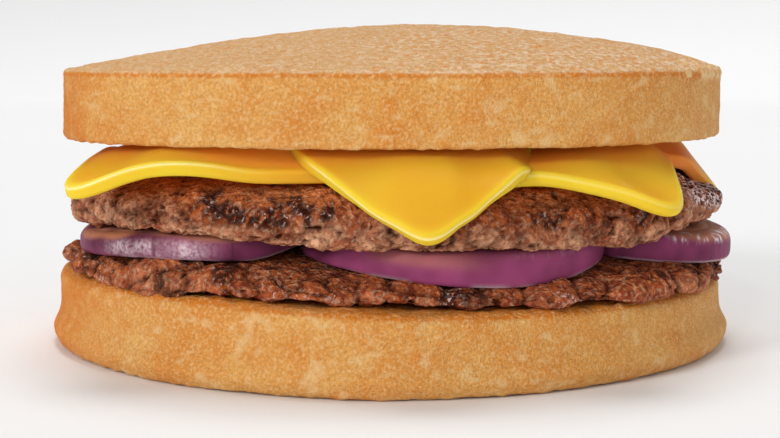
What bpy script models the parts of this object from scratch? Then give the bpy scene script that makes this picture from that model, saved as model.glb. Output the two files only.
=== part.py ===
"""Sourdough melt: two toasted slices of bread round two beef patties, red onion and two slices of cheese.

Run it with blender --background --python part.py, or from Blender's text editor. Units are metres and
+Z is up. The origin lies on the surface that the sandwich stands on, under its middle. +X is the long
way of the bread, to the right, and -Y is the front.

Every layer sags towards its rim by the same rule: height = middle height - fall * crown, where crown is
0 over the origin and 1 round an oval of 116 x 102 mm.
"""

import math

import bmesh
import bpy
import numpy as np

# The oval on which every layer's fall is measured
OVAL_X = 0.058
OVAL_Y = 0.051

# Least gap between two layers
GAP = 0.0003

# Bread
BOTTOM_HALF_LENGTH = 0.0600
BOTTOM_HALF_DEPTH = 0.0562
BOTTOM_SQUARENESS = 1.88
BOTTOM_THICKNESS = 0.0129
BOTTOM_TILT = 0.0007
BOTTOM_FOOT = 0.0011
BOTTOM_EDGE = 0.0022
LIP_HEIGHT = 0.0029
LIP_SPREAD = 0.0022
LIP_REACH = 0.0014
TOP_OFFSET_X = 0.0009
TOP_HALF_LENGTH = 0.0582
TOP_HALF_DEPTH = 0.0520
TOP_SQUARENESS = 2.3
TOP_SQUARENESS_SKEW = 0.3
TOP_UNDERSIDE = 0.0438
TOP_UNDERSIDE_FALL = 0.0072
TOP_RIM_HEIGHT = 0.0486
TOP_DOME = 0.0079
DOME_POWER = 1.9
DOME_SKEW = 0.22
TOP_EDGE = 0.0013
BREAD_RIM = 0.9
BREAD_WAVE = 0.0004
BREAD_WAVE_SIZE = 0.016
BREAD_SEGMENTS = 52

# Patties: middle heights of their faces, the fall of each face at the oval, and the crumbly rim
PATTY_SQUARENESS = 2.12
LOWER_OFFSET_X = 0.0012
LOWER_HALF_LENGTH = 0.0593
LOWER_HALF_DEPTH = 0.0528
LOWER_TOP = 0.0227
LOWER_TOP_FALL = 0.0068
LOWER_RIM_GAP = 0.0005
LOWER_RIM_DROOP = 0.75
LOWER_SEAR_POWER = 6.0
UPPER_OFFSET_X = 0.0009
UPPER_HALF_LENGTH = 0.0572
UPPER_HALF_DEPTH = 0.0520
UPPER_BOTTOM = 0.0284
UPPER_BOTTOM_FALL = 0.0070
UPPER_TOP = 0.0375
UPPER_TOP_FALL = 0.0066
UPPER_SEAR_POWER = 3.6
PATTY_RIM = 0.80, 0.97
PATTY_EDGE_RADIUS = 0.035
PATTY_EDGE_LEVEL = 0.7
PATTY_HALF_THICKNESS = 0.0045
LUMP_SIZE = 0.0085
LUMP_HEIGHT = 0.0013
LUMP_DENT = 0.8
CRUMB_SIZE = 0.0046
CRUMB_HEIGHT = 0.0008
PATTY_SEGMENTS = 84
SEAR_STEPS = 7

# Places where a layer stands higher or lower: height, angle round the sandwich and width in degrees
BOTTOM_RISE = 0.0009, 228.0, 32.0
LOWER_RISE = 0.0018, 215.0, 32.0
LOWER_DIP = -0.0009, 298.0, 20.0
LEFT_SAG = 0.0022, 180.0, 38.0

# Red onion: x and y of the middle and radius of each slice, the first three along the front
ONION_TOP = 0.0280
ONION_TOP_FALL = 0.0070
ONION_EDGE = 0.07
ONION_CUT_SHARPNESS = 20.0
ONION_GAP = 0.0006
ONION_LAP = 0.0025
ONION_LAP_GAP = 0.0008
ONION_LAP_TAPER = 4.0
ONION_SEGMENTS = 28
ONIONS = {
    "onion_front_left": (-0.0265, -0.0157, 0.0268),
    "onion_front_centre": (0.0090, -0.0230, 0.0275),
    "onion_front_right": (0.0360, -0.0060, 0.0248),
    "onion_back_left": (-0.0240, 0.0240, 0.0240),
    "onion_back_right": (0.0190, 0.0230, 0.0255),
}

# Cheese: square slices that melted over the upper patty
CHEESE_HALF_SIDE = 0.0483
CHEESE_THICKNESS = 0.0025
CHEESE_FALL = 0.0070
CHEESE_CORNER_TRIM = 0.020
CHEESE_CORNER_POWER = 8
CHEESE_GRIP = 0.0020
CHEESE_LOWER_TOP = 0.0404
CHEESE_UPPER_TOP = 0.0434
CHEESE_CELLS = 18
CELL_CROWDING = 0.2
CORNER_BLEND = 4
CORNER_BLEND_FLOOR = 0.02
LEAST_BEND = 0.01
LEAST_FLARE = 1.0
BUCKLE_RISE = 0.0022
BUCKLE_X = -0.036
BUCKLE_WIDTH = 0.013
BUCKLE_Y = 0.030, 0.048

# Where each slice of cheese lies: x and y of its middle, and its turn
LOWER_CHEESE_PLACE = (-0.0002, -0.0005), math.radians(-3.0)
UPPER_CHEESE_PLACE = (0.0020, -0.0006), math.radians(48.6)

# Each corner: angle, share of the oval up to which it is held, share of its length that the hanging part
# keeps as it melts, slope and length of its bend, and degrees by which each metre past the bend flattens
LOWER_CHEESE_CORNERS = (
    (45.0, 0.92, 1.00, 38.0, 0.0120, 0.0),
    (135.0, 0.92, 1.00, 34.0, 0.0120, 0.0),
    (223.0, 0.90, 1.00, 11.0, 0.0120, 0.0),
    (317.0, 0.88, 1.00, 18.0, 0.0120, 0.0),
)
UPPER_CHEESE_CORNERS = (
    (4.0, 0.87, 0.70, 53.0, 0.0045, 0.0),
    (94.0, 0.95, 0.92, 50.0, 0.0070, 0.0),
    (184.0, 0.80, 0.12, 72.0, 0.0030, 0.0),
    (274.0, 0.95, 0.94, 61.0, 0.0040, 1500.0),
)

# Finishes: colour, roughness
CRUST = (0.69, 0.42, 0.16), 0.75
CHEESE = (0.80, 0.47, 0.03), 0.32
BEEF = (0.17, 0.07, 0.035), 0.55
ONION = (0.22, 0.05, 0.10), 0.25

EDGE_TURNS = 15.0, 45.0, 75.0
ONION_TURNS = -65.0, -35.0, 0.0, 35.0, 65.0
FACE_RINGS = 0.0, 0.25, 0.5, 0.73, 0.9
LATTICE = 24
MERGE_DISTANCE = 1e-6


def noise(points, size, seed):
    """Smooth noise from -1 to 1: random values on a lattice of cubes `size` wide, eased between corners."""
    lattice = np.random.default_rng(seed).uniform(-1.0, 1.0, (LATTICE, LATTICE, LATTICE))
    cell = points / size
    corner = np.floor(cell).astype(int)
    ease = cell - corner
    ease = ease * ease * (3.0 - 2.0 * ease)
    total = np.zeros(len(points))
    for step in np.ndindex(2, 2, 2):
        weight = np.prod(np.where(step, ease, 1.0 - ease), axis=1)
        i, j, k = ((corner + step) % LATTICE).T
        total += weight * lattice[i, j, k]
    return total


def outline(angle, half_x, half_y, power):
    """Radius at each angle of the oval |x / half_x|^power + |y / half_y|^power = 1."""
    across = np.abs(np.cos(angle) / half_x) ** power
    along = np.abs(np.sin(angle) / half_y) ** power
    return (across + along) ** (-1.0 / power)


def crown(x, y):
    """0 over the origin, 1 on the oval of 116 x 102 mm, growing as the square of the distance."""
    return (x / OVAL_X) ** 2 + (y / OVAL_Y) ** 2


def ease_in(value, low, high):
    """0 below low, 1 above high, and smooth between."""
    step = np.clip((value - low) / (high - low), 0.0, 1.0)
    return step * step * (3.0 - 2.0 * step)


def bell(x, y, height, middle, width):
    """`height` in the direction `middle` from the origin, fading over `width` to both sides, in degrees."""
    away = (np.degrees(np.arctan2(y, x)) - middle + 180.0) % 360.0 - 180.0
    return height * np.exp(-((away / width) ** 2))


def lower_patty_top(x, y):
    """Height of the lower patty's upper face, on which the onion lies."""
    lift = bell(x, y, *LOWER_RISE) + bell(x, y, *LOWER_DIP)
    return LOWER_TOP - (LOWER_TOP_FALL - lift) * crown(x, y)


def bottom_thickness(x, y):
    """Thickness of the bottom slice: a little less to the right, and more at the front left."""
    rise = bell(x, y, *BOTTOM_RISE) * np.minimum(crown(x, y), 1.0)
    return BOTTOM_THICKNESS - BOTTOM_TILT * x / BOTTOM_HALF_LENGTH + rise


def finish(name, look):
    """A Principled material."""
    colour, roughness = look
    material = bpy.data.materials.new(name)
    material.use_nodes = True
    shader = material.node_tree.nodes["Principled BSDF"]
    shader.inputs["Base Color"].default_value = (*colour, 1.0)
    shader.inputs["Roughness"].default_value = roughness
    shader.inputs["Metallic"].default_value = 0.0
    material.diffuse_color = (*colour, 1.0)
    return material


def add_object(name, bm, look):
    """The bmesh as a smooth named object."""
    mesh = bpy.data.meshes.new(name)
    bm.to_mesh(mesh)
    bm.free()
    mesh.shade_smooth()
    mesh.materials.append(finish(name, look))
    piece = bpy.data.objects.new(name, mesh)
    bpy.context.scene.collection.objects.link(piece)
    return piece


def turned_piece(name, profile, segments, place, look):
    """A unit profile of (radius, level) points spun into a closed form, then laid out by `place`.

    The profile runs from the middle of the underside, level -1, over the rim at radius 1, to the middle
    of the top, level 1. `place` takes radius, level and angle and gives the points in metres.
    """
    bm = bmesh.new()
    points = [bm.verts.new((radius, 0.0, level)) for radius, level in profile]
    edges = [bm.edges.new(pair) for pair in zip(points, points[1:])]
    bmesh.ops.spin(
        bm,
        geom=points + edges,
        cent=(0.0, 0.0, 0.0),
        axis=(0.0, 0.0, 1.0),
        angle=2.0 * math.pi,
        steps=segments,
        use_merge=True,
    )
    bmesh.ops.remove_doubles(bm, verts=bm.verts, dist=MERGE_DISTANCE)
    unit = np.array([vertex.co for vertex in bm.verts])
    radius = np.hypot(unit[:, 0], unit[:, 1])
    angle = np.arctan2(unit[:, 1], unit[:, 0])
    for vertex, point in zip(bm.verts, place(radius, unit[:, 2], angle)):
        vertex.co = point
    bmesh.ops.recalc_face_normals(bm, faces=bm.faces)
    return add_object(name, bm, look)


def rounding(radius_share, level_share):
    """The rounded lower edge of a unit profile, from its underside out to its rim."""
    return [
        (1.0 - radius_share * (1.0 - math.sin(turn)), -1.0 + level_share * (1.0 - math.cos(turn)))
        for turn in np.radians(EDGE_TURNS)
    ]


def slab_profile(faces, foot, wall, edge):
    """Profile of a slice of bread: two flat faces, a wall, and the shares taken by its rounded edges."""
    under = [(radius, -1.0) for radius in faces] + rounding(*foot)
    upper = [(radius, -level) for radius, level in reversed(rounding(*edge))]
    lower = [(1.0, level) for level in wall]
    return under + lower + upper + [(radius, 1.0) for radius in reversed(faces)]


def patty_profile(sear_power):
    """Profile of a patty: a flat underside, a rounded lower edge, and radius^power + level^2 = 1 above."""
    under = [(radius, -1.0) for radius in FACE_RINGS]
    rise = np.linspace(0.0, math.pi / 2.0, SEAR_STEPS, endpoint=False)
    sear = [(math.cos(turn) ** (2.0 / sear_power), math.sin(turn)) for turn in rise]
    return under + rounding(PATTY_EDGE_RADIUS, PATTY_EDGE_LEVEL) + sear + [(0.0, 1.0)]


def onion_profile():
    """Profile of an onion slice: flat faces and a full round edge."""
    edge = [(1.0 - ONION_EDGE * (1.0 - math.cos(turn)), math.sin(turn)) for turn in np.radians(ONION_TURNS)]
    under = [(radius, -1.0) for radius in FACE_RINGS]
    return under + edge + [(radius, 1.0) for radius in reversed(FACE_RINGS)]


def wave(x, y, z, seed):
    """The slow unevenness of a bread's wall, in metres."""
    points = np.column_stack((x, y, z))
    return BREAD_WAVE * noise(points, BREAD_WAVE_SIZE, seed)


def bottom_slice():
    """The slice underneath: flat below, with a lip that the grill pressed out near the floor."""

    def place(radius, level, angle):
        x = radius * np.cos(angle) * BOTTOM_HALF_LENGTH
        y = radius * np.sin(angle) * BOTTOM_HALF_DEPTH
        height = (0.5 + 0.5 * level) * bottom_thickness(x, y)
        lip = LIP_REACH * np.exp(-(((height - LIP_HEIGHT) / LIP_SPREAD) ** 2))
        reach = outline(angle, BOTTOM_HALF_LENGTH, BOTTOM_HALF_DEPTH, BOTTOM_SQUARENESS) * radius
        reach += ease_in(radius, BREAD_RIM, 1.0) * lip
        x, y = reach * np.cos(angle), reach * np.sin(angle)
        reach += ease_in(radius, BREAD_RIM, 1.0) * wave(x, y, height, 11)
        return np.column_stack((reach * np.cos(angle), reach * np.sin(angle), height))

    profile = slab_profile(
        faces=(0.0, 0.5, 0.88),
        foot=(BOTTOM_FOOT / BOTTOM_HALF_LENGTH, 2.0 * BOTTOM_FOOT / BOTTOM_THICKNESS),
        wall=(-0.7, -0.5, -0.2, 0.2),
        edge=(BOTTOM_EDGE / BOTTOM_HALF_LENGTH, 2.0 * BOTTOM_EDGE / BOTTOM_THICKNESS),
    )
    turned_piece("bread_bottom", profile, BREAD_SEGMENTS, place, CRUST)


def top_slice():
    """The slice on top: its faces rise to the middle over the filling, and its left end is squarer."""

    def place(radius, level, angle):
        squareness = TOP_SQUARENESS - TOP_SQUARENESS_SKEW * np.cos(angle)
        reach = outline(angle, TOP_HALF_LENGTH, TOP_HALF_DEPTH, squareness) * radius
        x, y = reach * np.cos(angle), reach * np.sin(angle)
        skew = 1.0 + DOME_SKEW * x / TOP_HALF_LENGTH
        under = TOP_UNDERSIDE - TOP_UNDERSIDE_FALL * radius**2
        over = TOP_RIM_HEIGHT + TOP_DOME * skew * (1.0 - radius**DOME_POWER)
        height = under + (0.5 + 0.5 * level) * (over - under)
        reach += ease_in(radius, BREAD_RIM, 1.0) * wave(x, y, height, 12)
        return np.column_stack((TOP_OFFSET_X + reach * np.cos(angle), reach * np.sin(angle), height))

    edge = TOP_EDGE / TOP_HALF_LENGTH, 2.0 * TOP_EDGE / (TOP_RIM_HEIGHT - TOP_UNDERSIDE + TOP_UNDERSIDE_FALL)
    profile = slab_profile(faces=FACE_RINGS, foot=edge, wall=(0.0,), edge=edge)
    turned_piece("bread_top", profile, BREAD_SEGMENTS, place, CRUST)


def patty_points(radius, level, angle, size, faces, seed):
    """Points of a patty: an oval whose rim and outer top are pushed out and in by noise at two sizes.

    `size` holds the middle's x, the half length and the half depth. `faces` gives the heights of the
    underside and the top at x and y.
    """
    middle_x, half_x, half_y = size
    reach = outline(angle, half_x, half_y, PATTY_SQUARENESS) * radius
    rim = ease_in(radius, *PATTY_RIM)
    spot = np.column_stack((reach * np.cos(angle), reach * np.sin(angle), PATTY_HALF_THICKNESS * level))
    push = LUMP_HEIGHT * noise(spot, LUMP_SIZE, seed) + CRUMB_HEIGHT * noise(spot, CRUMB_SIZE, seed + 1)
    reach += rim * (1.0 - 0.5 * np.abs(level)) * push
    x, y = middle_x + reach * np.cos(angle), reach * np.sin(angle)
    under, over = faces(x, y)
    dent = rim * np.maximum(level, 0.0) * LUMP_DENT * push
    return np.column_stack((x, y, under + (0.5 + 0.5 * level) * (over - under) + dent))


def lower_patty():
    """The lower patty, as wide as the bread, its rim drooping a little over the slice's edge."""

    def faces(x, y):
        rim = outline(np.arctan2(y, x), BOTTOM_HALF_LENGTH, BOTTOM_HALF_DEPTH, BOTTOM_SQUARENESS)
        past = np.clip((np.hypot(x, y) - rim - BREAD_WAVE) / BOTTOM_EDGE + 1.0, 0.0, LOWER_RIM_DROOP)
        rounded = BOTTOM_EDGE * (1.0 - np.sqrt(1.0 - past**2))
        return bottom_thickness(x, y) + GAP + LOWER_RIM_GAP * past - rounded, lower_patty_top(x, y)

    def place(radius, level, angle):
        size = LOWER_OFFSET_X, LOWER_HALF_LENGTH, LOWER_HALF_DEPTH
        return patty_points(radius, level, angle, size, faces, 21)

    turned_piece("patty_lower", patty_profile(LOWER_SEAR_POWER), PATTY_SEGMENTS, place, BEEF)


def upper_patty():
    """The upper patty, with a seared top that slopes down over its outer 10 mm."""

    def faces(x, y):
        under = UPPER_BOTTOM - UPPER_BOTTOM_FALL * crown(x, y)
        return under, UPPER_TOP - (UPPER_TOP_FALL + bell(x, y, *LEFT_SAG)) * crown(x, y)

    def place(radius, level, angle):
        size = UPPER_OFFSET_X, UPPER_HALF_LENGTH, UPPER_HALF_DEPTH
        return patty_points(radius, level, angle, size, faces, 31)

    turned_piece("patty_upper", patty_profile(UPPER_SEAR_POWER), PATTY_SEGMENTS, place, BEEF)


def onion_reach(name, angle):
    """Radius of an onion slice at each angle: its own circle, cut straight towards each neighbour."""
    x, y, own = ONIONS[name]
    inverse = own**-ONION_CUT_SHARPNESS * np.ones_like(angle)
    for other, (other_x, other_y, other_radius) in ONIONS.items():
        if other == name:
            continue
        away = math.hypot(other_x - x, other_y - y)
        if away >= own + other_radius:
            continue
        cut = (away**2 + own**2 - other_radius**2) / (2.0 * away) - ONION_GAP / 2.0
        if {name, other} == {"onion_front_left", "onion_front_centre"}:
            cut += ONION_LAP
        toward = np.cos(angle - math.atan2(other_y - y, other_x - x))
        inverse += (np.maximum(toward, 0.0) / cut) ** ONION_CUT_SHARPNESS
    return inverse ** (-1.0 / ONION_CUT_SHARPNESS)


def past_the_lap(x, y):
    """Distance from the line where the two front slices meet, positive on the centre slice's side."""
    left_x, left_y, left_radius = ONIONS["onion_front_left"]
    centre_x, centre_y, centre_radius = ONIONS["onion_front_centre"]
    away = math.hypot(centre_x - left_x, centre_y - left_y)
    cut = (away**2 + left_radius**2 - centre_radius**2) / (2.0 * away)
    return ((x - left_x) * (centre_x - left_x) + (y - left_y) * (centre_y - left_y)) / away - cut


def onion_slice(name):
    """One slice of red onion between the patties. The left slice's edge lies over the centre slice's."""
    middle_x, middle_y, _ = ONIONS[name]

    def place(radius, level, angle):
        reach = onion_reach(name, angle) * radius
        x, y = middle_x + reach * np.cos(angle), middle_y + reach * np.sin(angle)
        under = lower_patty_top(x, y) + GAP
        over = ONION_TOP - ONION_TOP_FALL * crown(x, y)
        past = past_the_lap(x, y)
        taper = -ONION_LAP_TAPER * ONION_LAP, -ONION_LAP
        half_left = 0.5 * (over - under - ONION_LAP_GAP)
        if name == "onion_front_left":
            under += (over - under - half_left) * ease_in(past, *taper)
        if name == "onion_front_centre":
            over -= (over - under - half_left) * ease_in(-past, *taper)
        z = under + (0.5 + 0.5 * level) * (over - under)
        return np.column_stack((x, y, z))

    turned_piece(name, onion_profile(), ONION_SEGMENTS, place, ONION)


def square_reach(angle, middle, turn, half_side):
    """Distance from the origin, at each angle, to the outline of a turned square, roughly."""
    local = angle - turn
    shift = middle[0] * np.cos(angle) + middle[1] * np.sin(angle)
    return half_side / np.maximum(np.abs(np.cos(local)), np.abs(np.sin(local))) + shift


def drape(x, y, top, corners, under):
    """Lay the flat points (x, y) of a slice over what carries it and let what reaches past that hang.

    Up to its edge the slice follows the patty. Past it, it bends in an arc to the corner's slope and then
    goes on nearly straight. Between corners the values blend by a power of the cosine of the angle away.
    Where another slice lies `under` this one, it is held up to that slice's edge too.
    """
    angle = np.arctan2(y, x)
    weights = [
        np.maximum(np.cos(angle - math.radians(corner[0])), CORNER_BLEND_FLOOR) ** CORNER_BLEND
        for corner in corners
    ]
    held, kept_length, slope, bend, flare = (
        sum(weight * corner[item] for weight, corner in zip(weights, corners)) / sum(weights)
        for item in range(1, 6)
    )
    distance = np.maximum(np.hypot(x, y), MERGE_DISTANCE)
    oval = distance / np.sqrt(crown(x, y) + MERGE_DISTANCE**2)
    edge = held * oval
    if under:
        edge = np.maximum(edge, square_reach(angle, *under, CHEESE_HALF_SIDE) + CHEESE_GRIP)
    fall = CHEESE_FALL + bell(x, y, *LEFT_SAG)
    first = np.arctan(2.0 * fall * edge / oval**2)
    rate = np.maximum(np.radians(slope) - first, LEAST_BEND) / bend
    flare = np.maximum(np.radians(flare), LEAST_FLARE)
    past = np.maximum(distance - edge, 0.0) * kept_length
    bent = np.minimum(past, bend)
    last = first + rate * bent
    end = last - flare * (past - bent)
    run = (np.sin(last) - np.sin(first)) / rate + (np.sin(last) - np.sin(end)) / flare
    drop = (np.cos(first) - np.cos(last)) / rate + (np.cos(end) - np.cos(last)) / flare
    kept = np.minimum(distance, edge)
    height = top - fall * (kept / oval) ** 2 - drop + buckle(x, y)
    return np.column_stack((x / distance * (kept + run), y / distance * (kept + run), height))


def buckle(x, y):
    """The soft rise of a slice's front edge to the left of the middle."""
    return BUCKLE_RISE * np.exp(-(((x - BUCKLE_X) / BUCKLE_WIDTH) ** 2)) * ease_in(-y, *BUCKLE_Y)


def cheese_slice(name, middle, turn, top, corners, under=None):
    """One square slice with rounded corners: a grid, draped, and thickened downwards."""
    bm = bmesh.new()
    bmesh.ops.create_grid(bm, x_segments=CHEESE_CELLS, y_segments=CHEESE_CELLS, size=1.0)
    flat = np.array([vertex.co for vertex in bm.verts])[:, :2]
    flat = (1.0 + CELL_CROWDING) * flat - CELL_CROWDING * flat**3
    trim = 1.0 - CHEESE_CORNER_TRIM * np.prod(np.abs(flat), axis=1) ** CHEESE_CORNER_POWER
    flat *= CHEESE_HALF_SIDE * trim[:, None]
    across, along = math.cos(turn), math.sin(turn)
    x = middle[0] + across * flat[:, 0] - along * flat[:, 1]
    y = middle[1] + along * flat[:, 0] + across * flat[:, 1]
    for vertex, point in zip(bm.verts, drape(x, y, top, corners, under)):
        vertex.co = point
    bmesh.ops.recalc_face_normals(bm, faces=bm.faces)
    if sum(face.normal.z for face in bm.faces) < 0.0:
        bmesh.ops.reverse_faces(bm, faces=bm.faces)
    piece = add_object(name, bm, CHEESE)
    thicken = piece.modifiers.new("thickness", "SOLIDIFY")
    thicken.thickness = CHEESE_THICKNESS
    thicken.offset = -1.0


def main():
    for old in list(bpy.data.objects):
        bpy.data.objects.remove(old)
    bottom_slice()
    lower_patty()
    for name in ONIONS:
        onion_slice(name)
    upper_patty()
    cheese_slice("cheese_lower", *LOWER_CHEESE_PLACE, CHEESE_LOWER_TOP, LOWER_CHEESE_CORNERS)
    cheese_slice(
        "cheese_upper", *UPPER_CHEESE_PLACE, CHEESE_UPPER_TOP, UPPER_CHEESE_CORNERS, under=LOWER_CHEESE_PLACE
    )
    top_slice()


main()
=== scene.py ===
"""The looks of a sourdough melt: toasted bread, two beef patties, red onion and two slices of melted cheese.

Every piece is a grid of points worked out with numpy round the same layers as the solids. All sizes are
metres, +Z is up, -Y is the front, and the origin lies under the middle of the sandwich.
"""

import math
from functools import reduce

import bpy
import numpy as np
from bpy.props import FloatProperty, FloatVectorProperty, PointerProperty
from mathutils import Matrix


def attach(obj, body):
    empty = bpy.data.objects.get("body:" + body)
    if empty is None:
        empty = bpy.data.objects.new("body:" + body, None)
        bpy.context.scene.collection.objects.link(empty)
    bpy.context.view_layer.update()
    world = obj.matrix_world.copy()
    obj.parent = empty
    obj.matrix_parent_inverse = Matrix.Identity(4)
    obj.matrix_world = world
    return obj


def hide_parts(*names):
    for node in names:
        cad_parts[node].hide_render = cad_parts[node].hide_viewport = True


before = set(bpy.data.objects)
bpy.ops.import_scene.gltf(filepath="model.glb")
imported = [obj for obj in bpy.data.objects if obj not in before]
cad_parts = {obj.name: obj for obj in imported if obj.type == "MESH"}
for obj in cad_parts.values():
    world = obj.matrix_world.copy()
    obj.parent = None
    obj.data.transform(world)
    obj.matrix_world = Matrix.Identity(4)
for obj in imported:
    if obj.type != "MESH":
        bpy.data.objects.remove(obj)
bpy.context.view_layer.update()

bl_info = {
    "name": "Sourdough melt",
    "version": (1, 0, 0),
    "blender": (4, 5, 0),
    "location": "3D View > Sidebar > Melt",
    "description": "Dresses the layers of a toasted sourdough sandwich with bread, beef, onion and cheese",
    "category": "Add Mesh",
}

MM = 0.001

# The oval on which every layer's fall is measured
OVAL_X = 0.058
OVAL_Y = 0.051
GAP = 0.0003

# Bread
BOTTOM_HALF_LENGTH = 0.0600
BOTTOM_HALF_DEPTH = 0.0562
BOTTOM_SQUARENESS = 1.88
BOTTOM_THICKNESS = 0.0129
BOTTOM_TILT = 0.0007
BOTTOM_FOOT = 0.0011
BOTTOM_EDGE = 0.0022
LIP_HEIGHT = 0.0029
LIP_SPREAD = 0.0022
LIP_REACH = 0.0014
TOP_OFFSET_X = 0.0009
TOP_HALF_LENGTH = 0.0582
TOP_HALF_DEPTH = 0.0520
TOP_SQUARENESS = 2.3
TOP_SQUARENESS_SKEW = 0.3
TOP_UNDERSIDE = 0.0438
TOP_UNDERSIDE_FALL = 0.0072
TOP_RIM_HEIGHT = 0.0486
TOP_DOME = 0.0079
DOME_POWER = 1.9
DOME_SKEW = 0.22
TOP_SHOULDER = 0.0007, 0.82, 0.14
TOP_EDGE = 0.0013
TOP_CREST_EDGE = 0.0008
BREAD_RIM = 0.9
BREAD_WALL = 0.86, 0.95
BREAD_WAVE = 0.0004
BREAD_WAVE_SIZE = 0.016
BOTTOM_ROWS = 110
TOP_ROWS = 112
# Widths of the bread's slow, middling and fine dents, and of its ragged edge
BREAD_DENTS = 6.0 * MM, 2.0 * MM, 1.0 * MM, 1.2 * MM
# Where the crumb is torn: its stretch along x, and its level up the wall and how far it fades
TORN_X = 0.042, 0.050
TORN_LEVEL = 0.84, 0.16

# Patties: middle heights of their faces, the fall of each face at the oval, and the crumbly rim
PATTY_SQUARENESS = 2.12
LOWER_OFFSET_X = 0.0012
LOWER_HALF_LENGTH = 0.0593
LOWER_HALF_DEPTH = 0.0528
LOWER_TOP = 0.0227
LOWER_TOP_FALL = 0.0068
LOWER_RIM_GAP = 0.0005
LOWER_RIM_DROOP = 0.75
LOWER_SEAR_POWER = 12.0
UPPER_OFFSET_X = 0.0009
UPPER_HALF_LENGTH = 0.0572
UPPER_HALF_DEPTH = 0.0520
UPPER_BOTTOM = 0.0284
UPPER_BOTTOM_FALL = 0.0070
UPPER_TOP = 0.0375
UPPER_TOP_FALL = 0.0066
UPPER_SEAR_POWER = 3.6
PATTY_RIM = 0.80, 0.97
PATTY_EDGE_RADIUS = 0.035
PATTY_EDGE_LEVEL = 0.7
PATTY_HALF_THICKNESS = 0.0045
LUMP_SIZE = 0.0085
LUMP_HEIGHT = 0.0013
LUMP_DENT = 0.8
CRUMB_SIZE = 0.0046
CRUMB_HEIGHT = 0.0008
# Height and width of the largest lumps of mince, and how much the smaller ones show
LOWER_LUMPS = 1.4 * MM, 6.0 * MM, 0.6
UPPER_LUMPS = 0.8 * MM, 7.5 * MM, 1.0
MIDDLE_LUMP = 0.55
BILLOW_GAIN = 1.6
BILLOW_POWER = 0.7

# Places where a layer stands higher or lower: height, angle round the sandwich and width in degrees
BOTTOM_RISE = 0.0009, 228.0, 32.0
LOWER_RISES = (0.0018, 215.0, 32.0), (-0.0009, 298.0, 20.0), (0.0012, 228.0, 18.0)
LEFT_SAG = 0.0022, 180.0, 38.0
ONION_CREST = 0.0019, 226.0, 20.0
UPPER_TUCKS = (0.0019, 226.0, 20.0), (0.0015, 332.0, 10.0), (-0.0010, 314.0, 6.0)
UPPER_SHOULDERS = (0.3 * MM, 0.0, 28.0), (1.1 * MM, 255.0, 55.0)
UPPER_LIFT = 0.3 * MM
LOWER_LIFT = 0.9 * MM

# Places where a patty is wider, by a share of its reach, and how far the lower one's edge hangs there
UPPER_RIGHT_END = 0.024, 350.0, 15.0
UPPER_LEFT_END = 0.016, 198.0, 13.0
LOWER_HANG = 1.0, 224.0, 12.0
HANG_WIDENS = 0.022
HANG_DROP = 1.4 * MM

# Places where the beef looks different: strength, angle round the sandwich and width in degrees
LOWER_CHARRED = 0.4, 230.0, 22.0
UPPER_BARE = 0.7, 205.0, 22.0
UPPER_CRUSTED = 0.35, 252.0, 16.0
UPPER_BURNT_WALL = 1.1, 251.0, 13.0
UPPER_BURNT = (0.9, 350.0, 20.0), (0.25, 300.0, 14.0)
UPPER_CHARRED = 0.4, 346.0, 17.0
# Where the right end is wet, glossy with painted glints
UPPER_WET = 1.5, 345.0, 17.0
# Where the crust gets no painted glow
UPPER_DULL = 1.0, 350.0, 24.0

# Red onion: x and y of the middle and radius of each slice
ONION_TOP = 0.0280
ONION_TOP_FALL = 0.0070
ONION_HALF_THICKNESS = 2.4 * MM
ONION_EDGE = 0.07
ONION_BLUNTNESS = 0.65
ONION_CUT_SHARPNESS = 45.0
ONION_GAP = 0.0006
ONION_LAP = 0.0015
ONION_LAP_GAP = 0.0008
LEFT_TAPER = -0.0085, 0.0035
CENTRE_TAPER = -0.0100, -0.0025
RING_SPACING = 0.0035
RIB_WIDTH = 0.0011
ONIONS = {
    "onion_front_left": (-0.0265, -0.0157, 0.0268),
    "onion_front_centre": (0.0090, -0.0230, 0.0275),
    "onion_front_right": (0.0360, -0.0060, 0.0248),
    "onion_back_left": (-0.0240, 0.0240, 0.0240),
    "onion_back_right": (0.0190, 0.0230, 0.0255),
}

# How far the skin of a slice takes its lit colour over its shaded one, as painted light and shade; how
# strong its painted sheen is; and how brown its upper face
ONION_LOOKS = {
    "onion_front_left": (0.15, 1.0, 0.85),
    "onion_front_centre": (0.75, 0.0, 0.10),
    "onion_front_right": (0.65, 0.0, 0.85),
}
PLAIN_ONION = 0.4, 0.0, 0.7
# Where a painted sheen lies on the skin, the front was cooked brown and glints are painted on the fibres:
# angle and width in degrees
ONION_DRIED = 246.0, 19.0
ONION_COOKED = 262.0, 18.0
ONION_TORN = 330.0, 34.0

# Cheese
CHEESE_HALF_SIDE = 0.0483
CHEESE_THICKNESS = 0.0025
CHEESE_FALL = 0.0070
CHEESE_GRIP = 0.0020
CHEESE_LOWER_TOP = 0.0404
CHEESE_UPPER_TOP = 0.0434
CHEESE_SQUARENESS = 20.0
CHEESE_PUFF = -0.0001
CHEESE_ROUNDING = 0.0007
CHEESE_MELTED_ROUNDING = 0.0012
CHEESE_MELTED_SQUARENESS = 14.0
CORNER_BLEND = 4
CORNER_BLEND_FLOOR = 0.02
LEAST_BEND = 0.01
LEAST_FLARE = 1.0
BUCKLE_RISE = 0.0022
BUCKLE_X = -0.036
BUCKLE_WIDTH = 0.013
BUCKLE_Y = 0.030, 0.048
# Where the sides of the upper slice shrank back under the bread: share, direction and width in degrees
UPPER_SHRINK = (0.26, 200.0, 46.0), (0.17, 317.0, 20.0), (0.10, 303.0, 10.0)
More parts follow.
